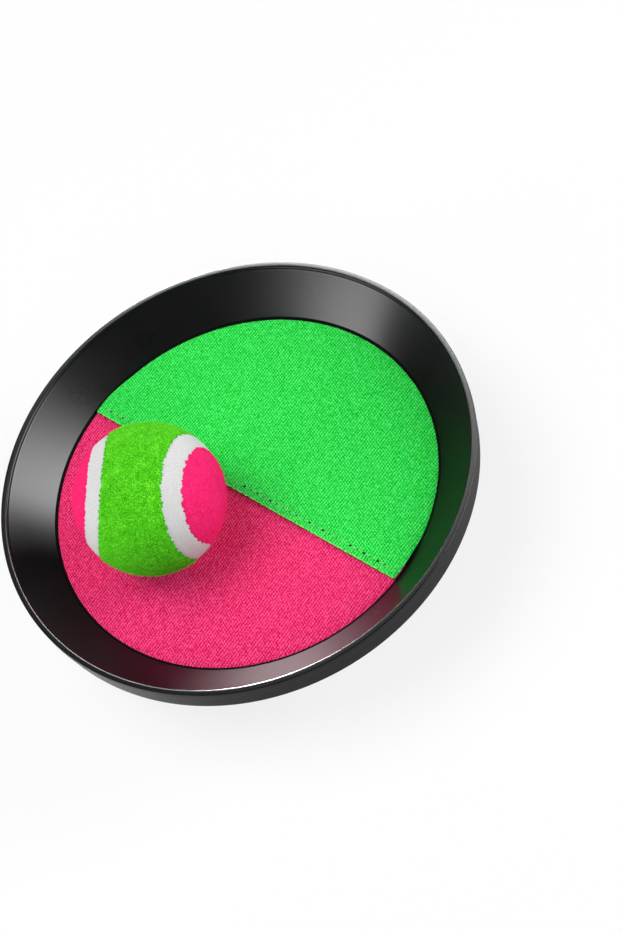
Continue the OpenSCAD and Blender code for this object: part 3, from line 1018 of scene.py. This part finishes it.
# felt: clumped fibres, with painted shade that darkens them towards the root and leaves them paler further
# out
def felt(name, tints, b, clump, sheen):
    finish = newFinish(name)
    where = objectPlace(finish)
    centre = Vector(b["centre"]) * mm
    out = addNode("ShaderNodeVectorMath", {0: where, 1: centre}, operation="SUBTRACT").outputs[0]
    # painted shade by depth: the nap darkens towards the felt's surface
    rootShade = spread(lengthOf(out), 0, 1, *[(b["radius"] + past) * mm for past in b["rootShade"]])
    fine = grains(where, clump, 3, 0.6)
    broad = grains(where, b["broad"])
    mixed = weighted((fine, 0.7), (broad, 0.04), (rootShade, 0.25))
    return dressed(finish, {
        "Base Color": ramp(mixed, zip(b["tintStops"], tints)),
        "Roughness": 0.95,
        "Specular IOR Level": 0.025,
        "Sheen Weight": sheen, "Sheen Roughness": 0.5, "Sheen Tint": (*tints[-1], 1),
        "Normal": relief(fine, 0.3, 0.8),
    })


# which zone a direction lies in, how far in mm from the zone's edge, and the nearest lobe's axis
def coverZone(spot, b):
    axis = max(upperLobes if spot.z > 0 else lowerLobes, key=spot.dot)
    angle = spot.angle(axis)
    zone = sum(angle > rim for rim in rims)
    edge = min(abs(angle - rim) for rim in rims) * b["radius"]
    return zone if spot.z > 0 else 2 - zone, edge, axis


# a fine ball, cut along the panels' edges, with the zones as material numbers
def coverSkin(b):
    bm = bmesh.new()
    bmesh.ops.create_icosphere(bm, subdivisions=b["fineness"], radius=b["radius"])
    bmesh.ops.bisect_plane(bm, geom=bm.verts[:] + bm.edges[:] + bm.faces[:], dist=0.05, plane_no=(0, 0, 1))
    for side, axes in ((1, upperLobes), (-1, lowerLobes)):
        for axis in axes:
            for rim in rims:
                faces = []
                for face in bm.faces:
                    spot = face.calc_center_median()
                    if spot.z * side > 0 and abs(spot.angle(axis) - rim) < 0.05:
                        faces.append(face)
                edges = list({e for f in faces for e in f.edges})
                verts = list({v for f in faces for v in f.verts})
                bmesh.ops.bisect_plane(bm, geom=faces + edges + verts, dist=0.05, plane_no=axis,
                                       plane_co=axis * b["radius"] * cos(rim))
    for face in bm.faces:
        face.material_index = coverZone(face.calc_center_median(), b)[0]
    return bm


def coverLayer(name, skin, zone, finish, b, r, lump, nap):
    bm = skin.copy()
    others = [f for f in bm.faces if f.material_index != zones.index(zone)]
    bmesh.ops.delete(bm, geom=others, context="FACES")
    for face in bm.faces:
        face.material_index = 0
    bm.verts.index_update()
    fringe = []
    for vert in bm.verts:
        spot = vert.co.normalized()
        _, edge, axis = coverZone(spot, b)
        if edge < b["clear"]:
            fringe.append(vert.index)
        near = max(0, 1 - edge / b["soft"])
        side = (axis - spot * axis.dot(spot)).normalized()
        shift = b["ragged"] * noise.noise(spot * 40) * near
        bump = lump * (noise.noise(spot * 13) + 0.8 * noise.noise(spot * 37))
        vert.co = (spot * r + side * shift).normalized() * (r + bump - b["roll"] * near * near)
    bed = bm.copy()        # the nap keeps off the cut edges
    bed.verts.ensure_lookup_table()
    bmesh.ops.delete(bed, geom=[bed.verts[i] for i in fringe], context="VERTS")
    under = bmesh.ops.extrude_face_region(bm, geom=bm.faces[:], use_keep_orig=True)["geom"]
    for vert in (v for v in under if isinstance(v, bmesh.types.BMVert)):
        vert.co = vert.co.normalized() * b["inner"]
    for mesh, sink in ((bm, 0), (bed, b["napSink"])):
        bmesh.ops.scale(mesh, vec=[mm * (1 - sink / r)] * 3, verts=mesh.verts)
        bmesh.ops.transform(mesh, matrix=ballPlace, verts=mesh.verts)
    return makePiece(name, bm, finish, 70), strew(name + "Nap", bed, finish, nap)


def makeBall(b):
    skin = coverSkin(b)
    slots = {
        "feltGreen": ("green_felt", "felt_green"),
        "feltPink": ("pink_felt", "felt_pink"),
        "ballSeam": ("pale_seam", "ball_seam_right", "ball_seam_left", "ball_seam_back", "ball_seam_front"),
    }
    made = {}
    for i, (name, (zone, finishName, clump, sheen, r, lump, nap)) in enumerate(b["layers"].items()):
        finish = felt(finishName, b[zone], b, clump, sheen)
        fibres = {**b[nap], "turn": 0, "swing": pi, "seed": b[nap]["seed"] + 10 * i}
        layer, fuzz = coverLayer(name, skin, zone, finish, b, b[r], lump, fibres)
        standsFor(layer, "ball", *slots[name])
        standsFor(fuzz, "ball", slots[name][0])
        made[name] = (layer, fuzz)
    skin.free()
    for name, more in (("feltGreen", made["ballSeam"]), ("feltPink", ())):
        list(more)
    return [piece for pair in made.values() for piece in pair]


ballPieces = makeBall(ball)
print("ball covered")

core = {"grain": 1.2, "tints": [(0.3, (0.16, 0.045, 0.03)), (0.7, (0.28, 0.08, 0.05))]}


# the hidden core keeps its CAD solids
def coreRubber(c):
    finish = newFinish("coreRubber")
    fine = grains(objectPlace(finish), c["grain"], 3)
    return dressed(finish, {
        "Base Color": ramp(fine, c["tints"]),
        "Roughness": spread(fine, 0.6, 0.8),
        "Normal": relief(fine, 0.1),
    })


rubber = coreRubber(core)
for half in ("core_half_upper", "core_half_lower"):
    ballPieces.append(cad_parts[half])
    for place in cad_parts[half].material_slots:
        place.material = rubber
print("core finished")

# studio: pale floor, soft boxes, a world that is pale at the horizon
studio = {
    "floorHalf": 20, "floorDrop": 0.0004, "floorGrey": (0.86, 0.86, 0.86, 1),
    "floorWhite": (0.78, 1.0), "whiteFrom": (0.25, 1.0), "aim": (0, 0, 0.04),
    "lamps": {      # boxes light the cloth, strips and the beam draw the highlights on the plastic
        "topBox": {"at": (-0.35, 0.1, 1.2), "size": (0.8, 0.8), "watts": 11.5},
        "frontBox": {"at": (0.0, -1.0, 0.9), "size": (0.8, 0.6), "watts": 3.6},
        "leftBox": {"at": (-1.05, -0.02, 0.38), "size": (0.42, 0.4), "watts": 3.0},
        "rightBox": {"at": (1.0, -0.2, 0.46), "size": (0.42, 0.5), "watts": 8.0},
        "backBox": {"at": (0.05, 1.1, 0.2), "size": (0.6, 0.3), "watts": 4.0},
        "leftStrip": {"at": (-1.03, -0.2, 0.42), "size": (0.9, 0.45), "watts": 31.0},
        "rightStrip": {"at": (0.99, -0.21, 0.435), "size": (0.9, 0.5), "watts": 52.0},
        "rimBeam": {"at": (0.1, 1.1, 0.165), "radius": 0.02, "watts": 640.0, "cone": 3.6,
                    "aim": (-0.0114, -0.0863, 0.044)},       # on the near rim, past the ball
        "lipStrip": {"at": (0.169, 0.705, 0.69), "size": (0.52, 0.16), "watts": 25.0, "roll": -37.2},
        "underBox": {"at": (0.25, 0.45, -0.95), "size": (0.8, 0.8), "watts": 20.0},
        "underStrip": {"at": (-0.45, 0.35, -0.9), "size": (0.5, 0.9), "watts": 46.0},
    },
    "sky": [(0.0, 0.9), (0.5, 0.9), (0.56, 0.06), (1.0, 0.05)],
    "mirroredSky": [(0.0, 1.0), (0.515, 1.0), (0.575, 0.06), (1.0, 0.05)],      # a low white backdrop
}


def keepToDish(lamp, passed):
    lit = bpy.data.collections.new("litByBeam")
    lit.objects.link(bpy.data.objects["dishShell"])
    lamp.light_linking.receiver_collection = lit
    clear = bpy.data.collections.new("passedByBeam")
    for piece in passed:
        clear.objects.link(piece)
    for held in clear.collection_objects:
        held.light_linking.link_state = "EXCLUDE"
    lamp.light_linking.blocker_collection = clear


def paleFloor(s):
    finish = newFinish("paleFloor")
    tree = finish.node_tree
    tree.nodes.clear()
    white = addNode("ShaderNodeEmission", {"Color": (1, 1, 1, 1), "Strength": 1.0}, tree).outputs[0]
    matt = addNode("ShaderNodeBsdfDiffuse", {"Color": s["floorGrey"]}, tree).outputs[0]
    clear = addNode("ShaderNodeBsdfTransparent", tree=tree).outputs[0]
    ray = addNode("ShaderNodeLightPath", tree=tree).outputs
    seen = maths("MAXIMUM", ray["Is Camera Ray"], ray["Is Glossy Ray"])
    seen = maths("MAXIMUM", seen, ray["Is Transmission Ray"])
    where = addNode("ShaderNodeTexCoord", tree=tree).outputs["Object"]
    share = spread(lengthOf(where), *s["floorWhite"], *s["whiteFrom"])
    share = times(seen, share)
    above = addNode("ShaderNodeMixShader", {0: share, 1: matt, 2: white}).outputs[0]
    under = addNode("ShaderNodeNewGeometry", tree=tree).outputs["Backfacing"]
    both = addNode("ShaderNodeMixShader", {0: under, 1: above, 2: clear}).outputs[0]
    addNode("ShaderNodeOutputMaterial", {"Surface": both})
    return finish


def makeLamp(name, row, s):
    beam = "cone" in row
    data = bpy.data.lights.new(name, "SPOT" if beam else "AREA")
    if beam:
        data.spot_size = radians(row["cone"])
        data.spot_blend = 1.0
        data.shadow_soft_size = row["radius"]
    else:
        data.shape = "RECTANGLE"
        data.size, data.size_y = row["size"]
    data.energy = row["watts"]
    lamp = linkNew(name, data)
    lamp.location = row["at"]
    aim = Vector(row.get("aim", s["aim"])) - lamp.location
    roll = Euler((0, 0, radians(row.get("roll", 0)))).to_quaternion()
    lamp.rotation_euler = (aim.to_track_quat("-Z", "Y") @ roll).to_euler()
    lamp.visible_camera = False
    lamp.visible_diffuse = name.endswith("Box")
    lamp.visible_glossy = not lamp.visible_diffuse
    if beam:
        keepToDish(lamp, ballPieces)


def makeWorld(s):
    world = bpy.data.worlds.new("studioWorld")
    world.use_nodes = True
    scene.world = world
    where = addNode("ShaderNodeTexCoord", tree=world.node_tree).outputs["Generated"]
    level = spread(axesOf(where)["Z"], 0, 1, -1, 1)
    lit, mirrored = [ramp(level, [(at, (v, v, v)) for at, v in s[sky]]) for sky in ("sky", "mirroredSky")]
    ray = addNode("ShaderNodeLightPath", tree=world.node_tree).outputs
    mirror = maths("MAXIMUM", ray["Is Glossy Ray"], ray["Is Transmission Ray"])
    shown = mixColours(mirror, lit, mirrored)
    shown = mixColours(ray["Is Camera Ray"], shown, (1, 1, 1, 1))
    setInputs(world.node_tree.nodes["Background"], {"Color": shown})


def makeStudio(s):
    bm = bmesh.new()
    bmesh.ops.create_grid(bm, x_segments=1, y_segments=1, size=s["floorHalf"])
    bmesh.ops.translate(bm, vec=(0, 0, -s["floorDrop"]), verts=bm.verts)
    floor = linkPiece("studioFloor", toMesh("studioFloor", bm), paleFloor(s))
    floor.visible_shadow = False        # so the boxes below light the back
    for name, row in s["lamps"].items():
        makeLamp(name, row, s)
    makeWorld(s)
    scene.view_settings.view_transform = "Standard"


makeStudio(studio)
print("studio lit")
